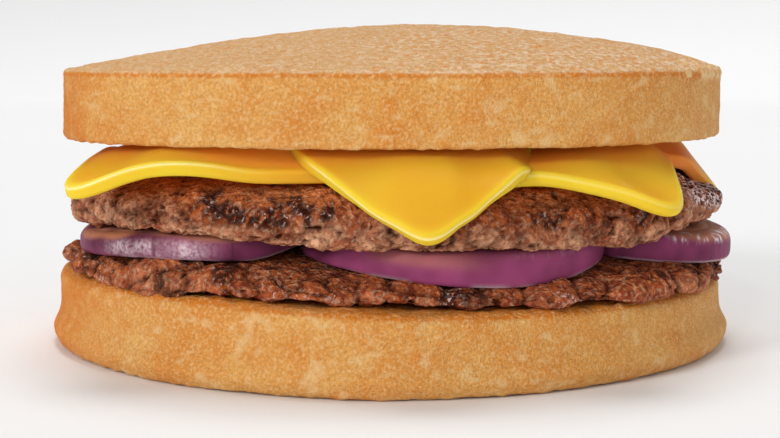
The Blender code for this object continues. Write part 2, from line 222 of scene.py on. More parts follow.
# Where a slice swells up to the bread or sinks onto what is under it: height, direction, width in degrees,
# the shares of the bread's reach between which it grows, and whether its rim follows
LOWER_SWELL = (
    (0.0030, 240.0, 26.0, 0.76, 0.86, 0.0),
    (0.0024, 322.0, 26.0, 0.76, 0.86, 0.0),
    (0.0022, 207.0, 15.0, 0.76, 0.86, 1.0),
    (0.0012, 235.0, 10.0, 0.88, 1.04, 1.0),
    (0.0016, 300.0, 10.0, 0.88, 1.04, 1.0),
)
UPPER_SWELL = (
    (-0.0034, 330.0, 30.0, 0.76, 0.90, 1.0),
    (-0.0018, 259.0, 9.0, 0.84, 1.06, 1.0),
    (-0.0008, 274.0, 12.0, 0.84, 1.06, 1.0),
    (-0.0008, 283.0, 4.5, 0.84, 1.06, 1.0),
    (-0.0031, 301.5, 11.0, 0.80, 0.98, 1.0),
)
# Where the rim of the lower slice has melted fully round: direction and width in degrees
MELTED_RIM = 315.0, 26.0
# Where the right tip gets painted shade, where its rim gets less painted glow, where no highlight is
# painted, and the painted highlight streaks beside it
TIP_BAKED = 343.0, 14.0
TIP_THICK = 345.0, 20.0
TIP_PLAIN = 345.0, 26.0
STREAKED = 310.0, 6.0
LOWER_CHEESE_PLACE = (-0.0002, -0.0005), math.radians(-3.0)
UPPER_CHEESE_PLACE = (0.0020, -0.0006), math.radians(48.6)

# Each corner: angle, share of the oval up to which it is held, share of its length that the hanging part
# keeps as it melts, slope and length of its bend, and degrees by which each metre past the bend flattens
LOWER_CHEESE_CORNERS = (
    (45.0, 0.92, 1.00, 38.0, 0.0120, 0.0),
    (135.0, 0.92, 1.00, 34.0, 0.0120, 0.0),
    (223.0, 0.90, 1.06, 11.0, 0.0120, 0.0),
    (317.0, 0.88, 1.07, 24.0, 0.0120, 0.0),
)
UPPER_CHEESE_CORNERS = (
    (4.0, 0.868, 0.98, 52.0, 0.0045, 0.0),
    (94.0, 0.95, 0.92, 50.0, 0.0070, 0.0),
    (184.0, 0.80, 0.12, 72.0, 0.0030, 0.0),
    (274.0, 0.92, 0.96, 61.0, 0.0075, 1500.0),
)

# Camera and floor
CAMERA_PLACE = (0.0, -0.2709, 0.0510)
CAMERA_PITCH = 6.32
PHOTO_WIDTH = 780
FOCAL_PIXELS = 1480
SENSOR_WIDTH = 36.0
FLOOR_FLAT = 1.4
FLOOR_CURVE = 0.35

MERGE_DISTANCE = 1e-6
LEAST_LENGTH = 1e-15
SLOPE_STEP = 1e-3

# How finely the noise and the meshes are divided
FORM_LATTICE = 24
FINE_LATTICE = 64
FINE_SEGMENTS = 880
ONION_SEGMENTS = 420
PATTY_ROWS = 112
ONION_ROWS = 76
CHEESE_ROWS = 96
CHEESE_SIDE_POINTS = 131
PROFILE_STEPS = 24
SEAR_STEPS = 200
DENSE_STEPS = 6000
ONION_RIM_STEPS = 60
FLOOR_SEGMENTS = 96
FLOOR_STEPS = 25


def linear(code):
    """A colour given as six hex digits in sRGB, as linear red, green and blue."""
    channels = [int(code[place:place + 2], 16) / 255.0 for place in (0, 2, 4)]
    return tuple(c / 12.92 if c <= 0.04045 else ((c + 0.055) / 1.055) ** 2.4 for c in channels)


def swatch(name, description, code):
    """A colour that a user can change, with its default in sRGB hex."""
    return FloatVectorProperty(name=name, description=description, subtype="COLOR", default=linear(code))


def from_lattice(points, size, cells, corner_value):
    """Blend of what eight corners give each point, in a lattice of cubes `size` wide, eased between them.
    `corner_value` takes a corner's number along each axis and the way from it to the point."""
    cell = points / size
    corner = np.floor(cell).astype(int)
    inside = cell - corner
    ease = inside * inside * (3.0 - 2.0 * inside)
    total = np.zeros(points.shape[:-1])
    for step in np.ndindex(2, 2, 2):
        weight = np.prod(np.where(step, ease, 1.0 - ease), axis=-1)
        number = tuple(np.moveaxis((corner + step) % cells, -1, 0))
        total += weight * corner_value(number, inside - step)
    return total


def noise(points, size, seed, cells=FINE_LATTICE):
    """Smooth noise from -1 to 1: random values at the corners of a lattice of cubes `size` wide."""
    values = np.random.default_rng(seed).uniform(-1.0, 1.0, (cells, cells, cells))
    return from_lattice(points, size, cells, lambda number, way: values[number])


def swirl(points, size, seed):
    """Three noises side by side, which push points about in all directions."""
    return np.stack([noise(points, size, seed + item) for item in range(3)], axis=-1)


def billow(points, size, seed):
    """Rounded lumps about `size` wide with sharp creases between them, 0 in a crease and 1 on a lump: the
    absolute value of random slopes at the corners of a lattice of cubes."""
    slopes = np.random.default_rng(seed).normal(size=(FORM_LATTICE, FORM_LATTICE, FORM_LATTICE, 3))
    total = from_lattice(points, size, FORM_LATTICE, lambda number, way: (slopes[number] * way).sum(-1))
    return np.minimum(BILLOW_GAIN * np.abs(total), 1.0) ** BILLOW_POWER


def outline(angle, half_x, half_y, power):
    """Radius at each angle of the oval |x / half_x|^power + |y / half_y|^power = 1."""
    across = np.abs(np.cos(angle) / half_x) ** power
    along = np.abs(np.sin(angle) / half_y) ** power
    return (across + along) ** (-1.0 / power)


def crown(x, y):
    """0 over the origin, 1 on the oval of 116 x 102 mm, growing as the square of the distance."""
    return (x / OVAL_X) ** 2 + (y / OVAL_Y) ** 2


def ease_in(value, low, high):
    """0 below low, 1 above high, and smooth between."""
    step = np.clip((value - low) / (high - low), 0.0, 1.0)
    return step * step * (3.0 - 2.0 * step)


def unit(value):
    """The value, kept from 0 to 1."""
    return np.clip(value, 0.0, 1.0)


def hump(value, middle, width, power=2):
    """1 at the middle, fading over `width` to both sides; a power of 4 gives it a flat top."""
    return np.exp(-(((value - middle) / width) ** power))


def turned_from(angle, middle):
    """Degrees from the direction `middle` to each angle, from -180 to 180."""
    return (np.degrees(angle) - middle + 180.0) % 360.0 - 180.0


def bell(x, y, height, middle, width):
    """`height` in the direction `middle` from the origin, fading over `width` to both sides, in degrees."""
    return height * hump(turned_from(np.arctan2(y, x), middle), 0.0, width)


def bells(x, y, places):
    """Sum of the bells at several places."""
    return sum(bell(x, y, *place) for place in places)


def window(angle, middle, width):
    """Nearly 1 in the direction `middle`, nearly 0 further than `width` to either side, in degrees."""
    return hump(turned_from(angle, middle), 0.0, width, 4)


def polar(reach, angle, height):
    """Points at these distances and angles from the z axis, and at these heights."""
    return np.stack((reach * np.cos(angle), reach * np.sin(angle), height), axis=-1)


def widen(points, share):
    """Push points out from the z axis by a share of their distance from it."""
    return points * (1.0 + share[..., None] * (1.0, 1.0, 0.0))


def lower_patty_top(x, y):
    """Height of the lower patty's upper face, on which the onion lies."""
    return LOWER_TOP - (LOWER_TOP_FALL - bells(x, y, LOWER_RISES)) * crown(x, y)


def bottom_thickness(x, y):
    """Thickness of the bottom slice: a little less to the right, and more at the front left."""
    rise = bell(x, y, *BOTTOM_RISE) * np.minimum(crown(x, y), 1.0)
    return BOTTOM_THICKNESS - BOTTOM_TILT * x / BOTTOM_HALF_LENGTH + rise


def rounding(radius_share, level_share):
    """The rounded lower edge of a unit profile, a quarter of an ellipse from its underside to its rim."""
    turn = np.linspace(0.0, math.pi / 2.0, PROFILE_STEPS)
    radius = 1.0 - radius_share * (1.0 - np.sin(turn))
    return np.column_stack((radius, level_share * (1.0 - np.cos(turn)) - 1.0))


def slab_profile(foot, edge):
    """Unit profile of a slab: flat faces joined by a wall, with the shares taken by its rounded edges."""
    upper = rounding(*edge)[::-1] * (1.0, -1.0)
    return np.vstack(((0.0, -1.0), rounding(*foot), upper, (0.0, 1.0)))


def patty_profile(sear_power):
    """Unit profile of a patty: flat below, a rounded lower edge, and radius^power + level^2 = 1 above."""
    rise = np.linspace(0.0, math.pi / 2.0, SEAR_STEPS)
    sear = np.column_stack((np.cos(rise) ** (2.0 / sear_power), np.sin(rise)))
    return np.vstack(((0.0, -1.0), rounding(PATTY_EDGE_RADIUS, PATTY_EDGE_LEVEL), sear))


def spread(profile, reach, half_height, rows, fine_from, coarse):
    """Spread `rows` points along a profile by its real length, where what lies inside the radius
    `fine_from` counts only as the share `coarse` of its length."""
    radius, level = profile.T
    dense = np.linspace(0.0, len(profile) - 1.0, DENSE_STEPS)
    radius = np.interp(dense, np.arange(len(profile)), radius)
    level = np.interp(dense, np.arange(len(profile)), level)
    step = np.hypot(np.diff(radius) * reach, np.diff(level) * half_height)
    step *= np.where(radius[1:] > fine_from, 1.0, coarse)
    length = np.concatenate(((0.0,), np.cumsum(step)))
    place = np.linspace(0.0, length[-1], rows)
    return np.interp(place, length, radius), np.interp(place, length, level)


def spin(segments, radius, level):
    """A profile at evenly spaced angles of one turn, as grids of radius, level and angle."""
    turn = np.arange(segments) * (2.0 * math.pi / segments)
    angle, radius = np.meshgrid(turn, radius, indexing="ij")
    return radius, np.broadcast_to(level, radius.shape), angle


def directions(vectors):
    """The vectors, each scaled to a length of 1."""
    return vectors / np.maximum(np.linalg.norm(vectors, axis=-1, keepdims=True), LEAST_LENGTH)


def outward(points):
    """Unit normals of a grid that closes in its first direction and runs from pole to pole in its second."""
    around = np.roll(points, -1, axis=0) - np.roll(points, 1, axis=0)
    return directions(np.cross(around, np.gradient(points, axis=1)))


def add_piece(name, points, material, node, slot, **fields):
    """A closed smooth mesh from a grid of points that ends in two poles, with a number at every point for
    each named field. It stands for the CAD node and rides with it."""
    around, rows = points.shape[:2]
    inner = points[:, 1:-1]
    corners = np.vstack((inner.reshape(-1, 3), points[:, 0].mean(axis=0), points[:, -1].mean(axis=0)))
    bottom_pole = len(corners) - 2
    number = np.arange(bottom_pole).reshape(around, rows - 2)
    beside = np.roll(number, -1, axis=0)
    quads = np.stack((number[:, :-1], beside[:, :-1], beside[:, 1:], number[:, 1:]), axis=-1).reshape(-1, 4)
    below = np.column_stack((np.full(around, bottom_pole), beside[:, 0], number[:, 0]))
    above = np.column_stack((number[:, -1], beside[:, -1], np.full(around, bottom_pole + 1)))
    loops = np.concatenate((quads.ravel(), below.ravel(), above.ravel()))
    sides = np.concatenate((np.full(len(quads), 4), np.full(2 * around, 3)))
    mesh = bpy.data.meshes.new(name)
    mesh.vertices.add(len(corners))
    mesh.vertices.foreach_set("co", corners.ravel())
    mesh.loops.add(len(loops))
    mesh.loops.foreach_set("vertex_index", loops)
    mesh.polygons.add(len(sides))
    mesh.polygons.foreach_set("loop_start", np.concatenate(((0,), np.cumsum(sides)[:-1])))
    mesh.update(calc_edges=True)
    mesh.validate()
    mesh.shade_smooth()
    for field, values in fields.items():
        values = np.broadcast_to(values, points.shape[:2])
        flat = np.concatenate((values[:, 1:-1].ravel(), (values[:, 0].mean(), values[:, -1].mean())))
        mesh.attributes.new(field, "FLOAT", "POINT").data.foreach_set("value", flat.astype(np.float32))
    mesh.materials.append(material)
    piece = bpy.data.objects.new(name, mesh)
    bpy.context.scene.collection.objects.link(piece)
    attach(piece, "root")
    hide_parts(node)
    return piece


def add(tree, kind, inputs, output=0, **settings):
    """Add a shader node, set its properties, give its inputs values or other nodes' sockets, and return one
    of its outputs."""
    made = tree.nodes.new("ShaderNode" + kind)
    for name, value in settings.items():
        setattr(made, name, value)
    for name, value in inputs.items():
        if isinstance(value, bpy.types.NodeSocket):
            tree.links.new(value, made.inputs[name])
        else:
            made.inputs[name].default_value = value
    return made.outputs[output]


def start_material(name, values):
    """A Principled material with these plain values, as material, tree and the shader's inputs."""
    material = bpy.data.materials.new(name)
    material.use_nodes = True
    inputs = material.node_tree.nodes["Principled BSDF"].inputs
    for socket, value in values.items():
        inputs[socket].default_value = value
    return material, material.node_tree, inputs


def share_of(tree, strength=1.0, field=None, power=1.0, spots=None):
    """Socket that says how much there is of something at each point: its strength, times a power of the
    number that the points hold as `field`, times `spots` of noise on Object coordinates. Spots are given as
    their width, the noise at which one begins and is full, and the noise's detail."""
    parts = [strength] if strength < 1.0 else []
    if field:
        parts.append(add(tree, "Attribute", {}, "Fac", attribute_name=field))
    if power > 1.0:
        parts[-1] = add(tree, "Math", {0: parts[-1], 1: power}, operation="POWER")
    if spots:
        width, begin, full, detail = spots
        place = add(tree, "TexCoord", {}, "Object")
        cloud = add(tree, "TexNoise", {"Vector": place, "Scale": 1.0 / width, "Detail": detail})
        parts.append(add(tree, "MapRange", {"Value": cloud, "From Min": begin, "From Max": full}))
    return reduce(lambda one, two: add(tree, "Math", {0: one, 1: two}, operation="MULTIPLY"), parts)


def coat(tree, base, colour, **share):
    """Lay a coat of colour over a base colour, as much of it as `share_of` makes of the rest."""
    base, colour = (
        item if isinstance(item, bpy.types.NodeSocket) else (*item, 1.0) for item in (base, colour)
    )
    return add(tree, "Mix", {0: share_of(tree, **share), 6: base, 7: colour}, 2, data_type="RGBA")


def roughen(tree, inputs, depth, strength, spots):
    """Bump the surface by spots of noise that stand `depth` metres high, and return the bumped normal."""
    height = share_of(tree, spots=spots)
    normal = add(tree, "Bump", {"Height": height, "Distance": depth, "Strength": strength})
    tree.links.new(normal, inputs["Normal"])
    return normal


def toasted_bread():
    """Griddled white sourdough, toasted dry: a matt golden skin with a mottle of about 1 mm, cream where
    the crumb shows through and orange-brown where it caught."""
    look = bpy.context.scene.melt_bread
    material, tree, inputs = start_material(
        "toasted white sourdough", {"Roughness": 0.7, "IOR": 1.45, "Specular IOR Level": 0.15}
    )
    base = coat(tree, look.pale, look.brown, field="toast")
    base = coat(tree, base, look.face, field="face")
    base = coat(tree, base, look.fleck, strength=0.5, spots=(look.grain, 0.35, 0.65, 4.0))
    base = coat(tree, base, look.crumb, field="bare", spots=(1.3 * look.grain, 0.48, 0.72, 4.0))
    base = coat(tree, base, look.crumb, field="cream")
    base = coat(tree, base, look.brown, field="dented", spots=(1.1 * MM, 0.50, 0.60, 4.0))
    base = coat(tree, base, look.flake, field="flaky", spots=(1.0 * MM, 0.50, 0.60, 4.0))
    tree.links.new(base, inputs["Base Color"])
    roughen(tree, inputs, 0.5 * look.grain, 1.0, (0.8 * look.grain, 0.3, 0.7, 4.0))
    return material


def grilled_beef(name, dark, pale):
    """Coarsely minced beef, fried hard: tan crumbly flesh, an orange-brown crust on top, near-black
    char, and a thin wet film of grease that glints, with painted glints on it, painted shade in its creases
    and painted light on the crust near the cheese."""
    look = bpy.context.scene.melt_beef
    material, tree, inputs = start_material(
        name, {"Roughness": 0.6, "IOR": 1.4, "Specular IOR Level": 0.12, "Coat Roughness": 0.12}
    )
    crust = coat(tree, look.seared, look.browned, spots=(1.3 * MM, 0.38, 0.62, 5.0))
    base = coat(tree, dark, pale, field="grain")
    base = coat(tree, base, crust, field="sear")
    # Painted light: the upper crust made brighter orange against the shade of the cheese
    base = coat(tree, base, look.glow, strength=0.85, field="glow")
    base = coat(tree, base, look.crumb, strength=0.4, spots=(0.7 * MM, 0.50, 0.66, 2.0))
    # Painted shade in random dark spots standing for pits
    base = coat(tree, base, look.crevice, strength=0.5, spots=(1.2 * MM, 0.55, 0.66, 3.0))
    base = coat(tree, base, look.char, field="char", spots=(1.1 * MM, 0.34, 0.48, 3.0))
    # Painted shade in the creases between lumps and in the pits
    base = coat(tree, base, look.crevice, field="crevice")
    # Painted glints: near-white specks where the crust is wet
    base = coat(tree, base, look.fat, field="wet", power=8.0, spots=(0.7 * MM, 0.52, 0.58, 2.0))
    base = coat(tree, base, look.fat, field="wet", power=2.0, spots=(0.6 * MM, 0.70, 0.74, 0.0))
    tree.links.new(base, inputs["Base Color"])
    tree.links.new(share_of(tree, field="wet", spots=(0.6 * MM, 0.56, 0.62, 1.0)), inputs["Coat Weight"])
    normal = roughen(tree, inputs, 0.6 * MM, 1.0, (0.8 * MM, 0.3, 0.7, 4.0))
    tree.links.new(normal, inputs["Coat Normal"])
    return material


def melted_cheese():
    """Mild melting cheese, warm: smooth and waxy with a soft gloss, a little light passing through it.
    Its colour also has painted shade under the bread, a painted glow on its rims and a painted highlight
    along them.
    """
    look = bpy.context.scene.melt_cheese
    material, tree, inputs = start_material("melted mild cheese", {
        "Roughness": 0.45, "IOR": 1.4, "Specular IOR Level": 0.12, "Coat Roughness": 0.12,
        "Subsurface Weight": 0.6, "Subsurface Scale": 1.0,
        "Subsurface Radius": (4.5 * MM, 2.4 * MM, 0.5 * MM),
    })
    base = coat(tree, look.warm, look.bright, spots=(14.0 * MM, 0.3, 0.7, 1.0))
    # Painted shade: orange where the cheese lies in the bread's shadow, and on the face of the right tip
    base = coat(tree, base, look.baked, strength=0.65, field="baked")
    # Painted glow: lighter yellow on the rims outside the bread, as if light shone through them
    base = coat(tree, base, look.thin, strength=0.5, field="thin")
    # Painted highlight: a pale line along the top of the rims and pale streaks beside the right corner; the
    # same field sets where the coat of gloss lies
    base = coat(tree, base, look.bead, strength=0.8, field="bead", spots=(12.0 * MM, 0.15, 0.45, 1.0))
    tree.links.new(base, inputs["Base Color"])
    tree.links.new(share_of(tree, strength=0.5, field="bead"), inputs["Coat Weight"])
    roughen(tree, inputs, 0.06 * MM, 0.6, (3.5 * MM, 0.2, 0.8, 2.0))
    return material


def red_onion():
    """Red onion, grilled: a glossy plum skin side, painted darker or lighter by the light on it, with a
    painted sheen on its ribs and painted highlights at its lips and fibres, and a cut face that turned brown
    and translucent on the griddle."""
    look = bpy.context.scene.melt_onion
    material, tree, inputs = start_material("grilled red onion", {
        "Roughness": 0.45, "IOR": 1.4, "Specular IOR Level": 0.07, "Coat Roughness": 0.1,
        "Subsurface Weight": 0.15, "Subsurface Scale": 1.0,
        "Subsurface Radius": (2.0 * MM, 0.8 * MM, 1.0 * MM),
    })
    # Skin painted between its shaded and lit colours, with a painted sheen and painted highlights over it
    base = coat(tree, look.plum, look.magenta, field="tone")
    base = coat(tree, base, look.lilac, field="pale", spots=(0.5 * MM, 0.25, 0.6, 3.0))
    base = coat(tree, base, look.browned, field="brown")
    base = coat(tree, base, look.glint, field="glint")
    tree.links.new(base, inputs["Base Color"])
    tree.links.new(share_of(tree, field="wet"), inputs["Coat Weight"])
    roughen(tree, inputs, 0.08 * MM, 0.5, (1.0 * MM, 0.2, 0.8, 3.0))
    return material


def bread_rows(height, foot, edge, half_length, rows):
    """Rows of a slice's profile: fine on its wall and coarse inside, where the filling hides it."""
    shares = [(size / half_length, 2.0 * size / height) for size in (foot, edge)]
    return spread(slab_profile(*shares), half_length, height / 2.0, rows, 0.93, 0.2)


def waved(reach, angle, height, radius, seed):
    """Points of a slice of bread, its wall pushed in and out by the slow unevenness of a loaf."""
    push = BREAD_WAVE * noise(polar(reach, angle, height), BREAD_WAVE_SIZE, seed, FORM_LATTICE)
    return polar(reach + ease_in(radius, BREAD_RIM, 1.0) * push, angle, height)


def bottom_slice_points(radius, level, angle):
    """The slice underneath: a superellipse with a lip that the grill pressed out near the floor."""
    x = radius * np.cos(angle) * BOTTOM_HALF_LENGTH
    y = radius * np.sin(angle) * BOTTOM_HALF_DEPTH
    height = (0.5 + 0.5 * level) * bottom_thickness(x, y)
    lip = LIP_REACH * hump(height, LIP_HEIGHT, LIP_SPREAD)
    reach = outline(angle, BOTTOM_HALF_LENGTH, BOTTOM_HALF_DEPTH, BOTTOM_SQUARENESS) * radius
    return waved(reach + ease_in(radius, BREAD_RIM, 1.0) * lip, angle, height, radius, 11)


def top_slice_reach(angle):
    """Radius of the slice on top at each angle; its left end is squarer."""
    squareness = TOP_SQUARENESS - TOP_SQUARENESS_SKEW * np.cos(angle)
    return outline(angle, TOP_HALF_LENGTH, TOP_HALF_DEPTH, squareness)


def top_slice_points(radius, level, angle):
    """The slice on top: its faces rise to the middle over the filling."""
    reach = top_slice_reach(angle) * radius
    skew = 1.0 + DOME_SKEW * reach * np.cos(angle) / TOP_HALF_LENGTH
    under = TOP_UNDERSIDE - TOP_UNDERSIDE_FALL * radius**2
    over = TOP_RIM_HEIGHT + TOP_DOME * skew * (1.0 - radius**DOME_POWER)
    rise, *where = TOP_SHOULDER
    over = over + rise * hump(radius, *where) * np.maximum(np.cos(angle), 0.0) ** 2
    height = under + (0.5 + 0.5 * level) * (over - under)
    return waved(reach, angle, height, radius, 12) + (TOP_OFFSET_X, 0.0, 0.0)


def bread_slice(name, node, form, rows, crust, seed, material):
    """Make a slice of bread of this form, with dents about 6, 2 and 1 mm wide sunk into it and crumbs torn
    out at its right rim. `crust` is the share of pale crust on its upper face."""
    radius, level, angle = spin(FINE_SEGMENTS, *rows)
    points = form(radius, level, angle)
    normal = outward(points)
    rim = ease_in(radius, *BREAD_WALL)
    on_top = ease_in(level, 0.93, 0.985)
    edge = hump(np.abs(level), 1.0, 0.16) * rim
    torn = crust * rim * ease_in(points[..., 0], *TORN_X) * hump(level, *TORN_LEVEL)
    slow, middle, fine, ragged = (noise(points, size, seed + item) for item, size in enumerate(BREAD_DENTS))
    depth = 0.10 * slow + 0.07 * middle + 0.06 * fine + 0.16 * edge * ragged - 0.15
    depth = depth + 0.12 * on_top * (middle + 0.8 * fine) + 0.3 * torn * (ragged + 0.6 * fine)
    points = points + normal * (np.maximum(rim, on_top) * MM * depth)[..., None]
    x = points[..., 0]
    left = ease_in(-x, 40.0 * MM, 60.0 * MM)
    right = ease_in(x, 35.0 * MM, 60.0 * MM)
    east = ease_in(x + 12.0 * MM * slow, -30.0 * MM, 30.0 * MM)
    crease = hump(level, 0.9, 0.05) * rim
    toast = 0.40 + 0.30 * slow + 0.22 * middle + 0.55 * left + 0.9 * crease + 0.5 * on_top + 0.6 * torn
    streak = points + 1.2 * MM * swirl(points, 2.5 * MM, seed + 5)
    patch = noise(streak * (1.0, 1.0, 2.4), 2.4 * MM, seed + 4) + 0.35 * fine
    cream = 0.5 * ease_in(patch, 0.35, 0.9) * (1.0 - 0.8 * left) + 0.25 * edge * ease_in(ragged, 0.0, 0.6)
    cream = cream * (1.0 - crease) * (1.0 - on_top)
    points[..., 2] = np.maximum(points[..., 2], 0.0)
    add_piece(
        name, points, material, node, "bread",
        toast=unit(toast),
        cream=np.maximum(cream, torn * ease_in(ragged + 0.8 * fine, 0.0, 0.25)),
        # The pale face colour is laid on the wall toward the right end too, as painted shade dulling that
        # end
        face=unit(crust * on_top + 0.25 * right),
        flaky=crust * on_top * (0.35 + 0.35 * east),
        dented=crust * on_top * (0.35 + 0.2 * east),
        bare=0.55 - 0.4 * left * (1.0 - on_top),
    )


def patty_points(radius, level, angle, size, faces, seed):
    """Points of a patty: an oval whose rim and outer top are pushed out and in by noise at two sizes."""
    middle_x, half_x, half_y = size
    reach = outline(angle, half_x, half_y, PATTY_SQUARENESS) * radius
    rim = ease_in(radius, *PATTY_RIM)
    spot = polar(reach, angle, PATTY_HALF_THICKNESS * level)
    push = LUMP_HEIGHT * noise(spot, LUMP_SIZE, seed, FORM_LATTICE)
    push = push + CRUMB_HEIGHT * noise(spot, CRUMB_SIZE, seed + 1, FORM_LATTICE)
    reach = reach + rim * (1.0 - 0.5 * np.abs(level)) * push
    x, y = middle_x + reach * np.cos(angle), reach * np.sin(angle)
    under, over = faces(x, y)
    dent = rim * np.maximum(level, 0.0) * LUMP_DENT * push
    return np.stack((x, y, under + (0.5 + 0.5 * level) * (over - under) + dent), axis=-1)


def lower_patty_faces(x, y):
    """Underside and top of the lower patty. The underside follows the bread over its rounded edge."""
    rim = outline(np.arctan2(y, x), BOTTOM_HALF_LENGTH, BOTTOM_HALF_DEPTH, BOTTOM_SQUARENESS)
    past = np.clip((np.hypot(x, y) - rim - BREAD_WAVE) / BOTTOM_EDGE + 1.0, 0.0, LOWER_RIM_DROOP)
    rounded = BOTTOM_EDGE * (1.0 - np.sqrt(1.0 - past**2))
    return bottom_thickness(x, y) + GAP + LOWER_RIM_GAP * past - rounded, lower_patty_top(x, y)


def upper_patty_faces(x, y):
    """Underside and top of the upper patty."""
    under = UPPER_BOTTOM - (UPPER_BOTTOM_FALL - bells(x, y, UPPER_TUCKS)) * crown(x, y)
    return under, UPPER_TOP - (UPPER_TOP_FALL + bell(x, y, *LEFT_SAG)) * crown(x, y)


def mince(name, node, points, radius, seed, material, lumps, sear, char, wet, glow):
    """Cut the surface of minced meat into a patty: billowing lumps of four sizes that are bent out of shape,
    with creases between them, and pits. `lumps` holds the height and width of the largest and how much the
    smaller ones show. `sear` is where the crust is, which is flatter, `char` where it is black and sunk,
    `wet` where a film of grease glosses and glints are painted, and `glow` where the crust is painted
    brighter against the shade of the cheese. The creases and pits get painted shade."""
    height, width, fine = lumps
    normal = outward(points)
    warp = swirl(points, 2.4 * MM, seed)
    bent = points + 0.9 * MM * warp + 0.3 * MM * swirl(points, 0.9 * MM, seed + 10)
    big = billow(points + 0.7 * MM * warp, width, seed + 7)
    coarse = billow(bent, 2.6 * MM, seed + 3)
    small = billow(bent, 1.3 * MM, seed + 4)
    tiny = billow(points, 0.8 * MM, seed + 6)
    pit = ease_in(noise(bent, 1.3 * MM, seed + 5), 0.45, 0.75)
    flat = fine * (1.0 - 0.5 * sear)
    relief = flat * (0.36 * (coarse - MIDDLE_LUMP) + 0.32 * (small - MIDDLE_LUMP))
    relief = relief + 0.20 * fine * (tiny - MIDDLE_LUMP) - 0.45 * pit - 0.2 * char - 0.1
    relief = ease_in(radius, 0.78, 0.90) * (height * (big - 0.6) + MM * relief)
    points = points + normal * relief[..., None]
    shares = 0.5 * height / MM, 0.20 * fine, 0.26 * fine, 0.20 * fine
    # Painted shade: how deep each point lies in a crease or pit
    creases = (1.0 - ease_in(lump, 0.10, 0.45) for lump in (big, coarse, small, tiny))
    crevice = sum(share * crease for share, crease in zip(shares, creases)) + 0.7 * pit
    tint = noise(bent, 1.6 * MM, seed + 8) + 0.7 * noise(points, 0.8 * MM, seed + 9)
    tint = tint + 0.8 * noise(points, 6.0 * MM, seed + 13)
    add_piece(
        name, points, material, node, "beef",
        sear=sear, char=char, wet=wet, glow=glow,
        crevice=unit(crevice * (1.0 - 0.3 * sear)),
        # Grain: random tone, painted lighter on the tops of lumps and darker toward their creases as painted
        # light and shade
        grain=unit(0.45 + 0.45 * tint + 0.3 * (coarse - MIDDLE_LUMP) + 0.3 * (small - MIDDLE_LUMP)),
    )


def meeting(name, other):
    """How far apart the middles of two slices of onion are, and how far from the first their rims cross."""
    x, y, own = ONIONS[name]
    other_x, other_y, other_radius = ONIONS[other]
    away = math.hypot(other_x - x, other_y - y)
    return away, (away**2 + own**2 - other_radius**2) / (2.0 * away)


def onion_reach(name, angle):
    """Radius of an onion slice at each angle: its own circle, cut straight towards each neighbour."""
    x, y, own = ONIONS[name]
    inverse = own**-ONION_CUT_SHARPNESS * np.ones_like(angle)
    for other, (other_x, other_y, other_radius) in ONIONS.items():
        if other == name:
            continue
        away, cut = meeting(name, other)
        if away >= own + other_radius:
            continue
        cut -= ONION_GAP / 2.0
        if {name, other} == {"onion_front_left", "onion_front_centre"}:
            cut += ONION_LAP
        toward = np.cos(angle - math.atan2(other_y - y, other_x - x))
        inverse = inverse + (np.maximum(toward, 0.0) / cut) ** ONION_CUT_SHARPNESS
    return inverse ** (-1.0 / ONION_CUT_SHARPNESS)


def past_the_lap(x, y):
    """Distance from the line where the two front slices meet, positive on the centre slice's side."""
    left_x, left_y, _ = ONIONS["onion_front_left"]
    centre_x, centre_y, _ = ONIONS["onion_front_centre"]
    away, cut = meeting("onion_front_left", "onion_front_centre")
    return ((x - left_x) * (centre_x - left_x) + (y - left_y) * (centre_y - left_y)) / away - cut


